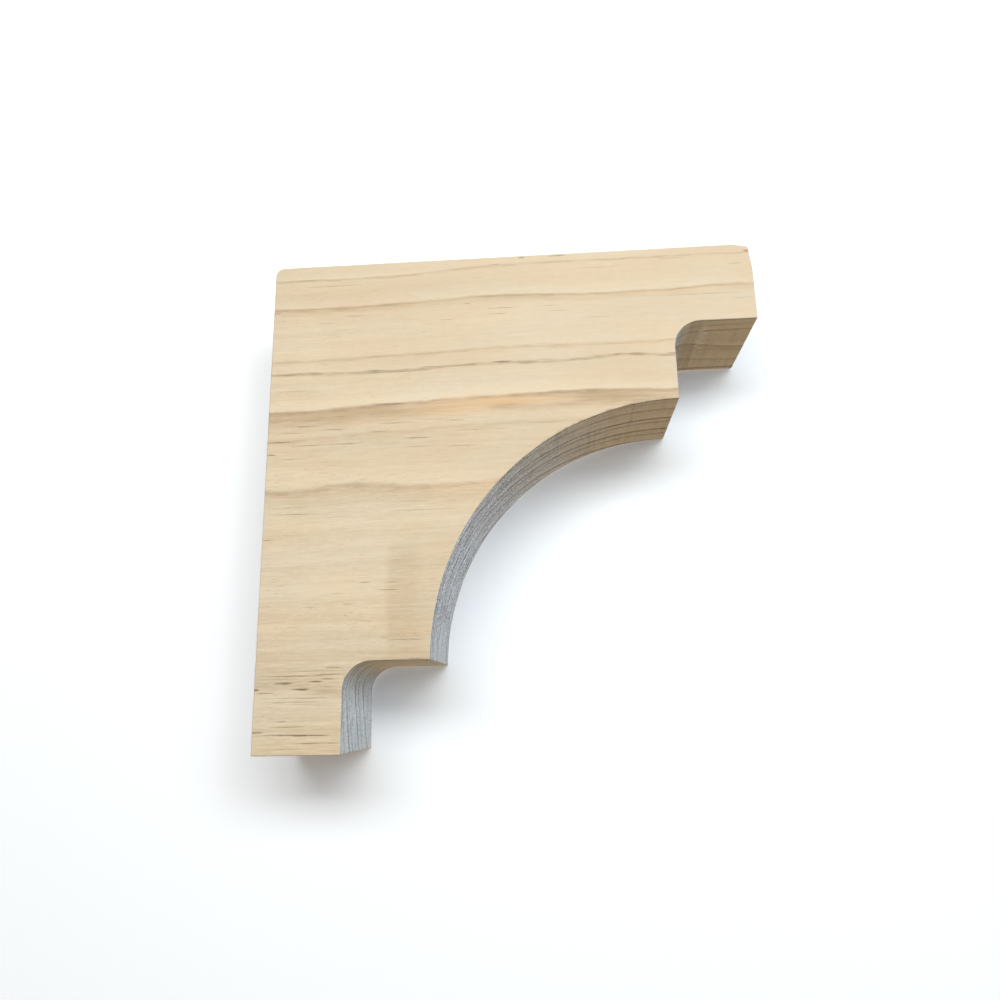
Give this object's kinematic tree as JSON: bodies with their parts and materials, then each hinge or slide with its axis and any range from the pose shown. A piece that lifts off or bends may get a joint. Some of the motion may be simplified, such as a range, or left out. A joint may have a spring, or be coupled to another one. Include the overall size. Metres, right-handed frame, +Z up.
{
  "type": "roof corbel",
  "caption": "Solid pine corbel bracket with a square back and top, a stepped and coved underside and a small square foot.",
  "frame": {"origin": "middle of the flat wall face", "axes": "+X runs out from the wall, +Y through the board's thickness, +Z up"},
  "size_m": [0.175, 0.045, 0.175],
  "materials": {
    "pine": "bare sanded softwood, matt, grain running out from the wall"
  },
  "bodies": {
    "root": {"corbel_block": "pine"}
  },
  "joints": []
}
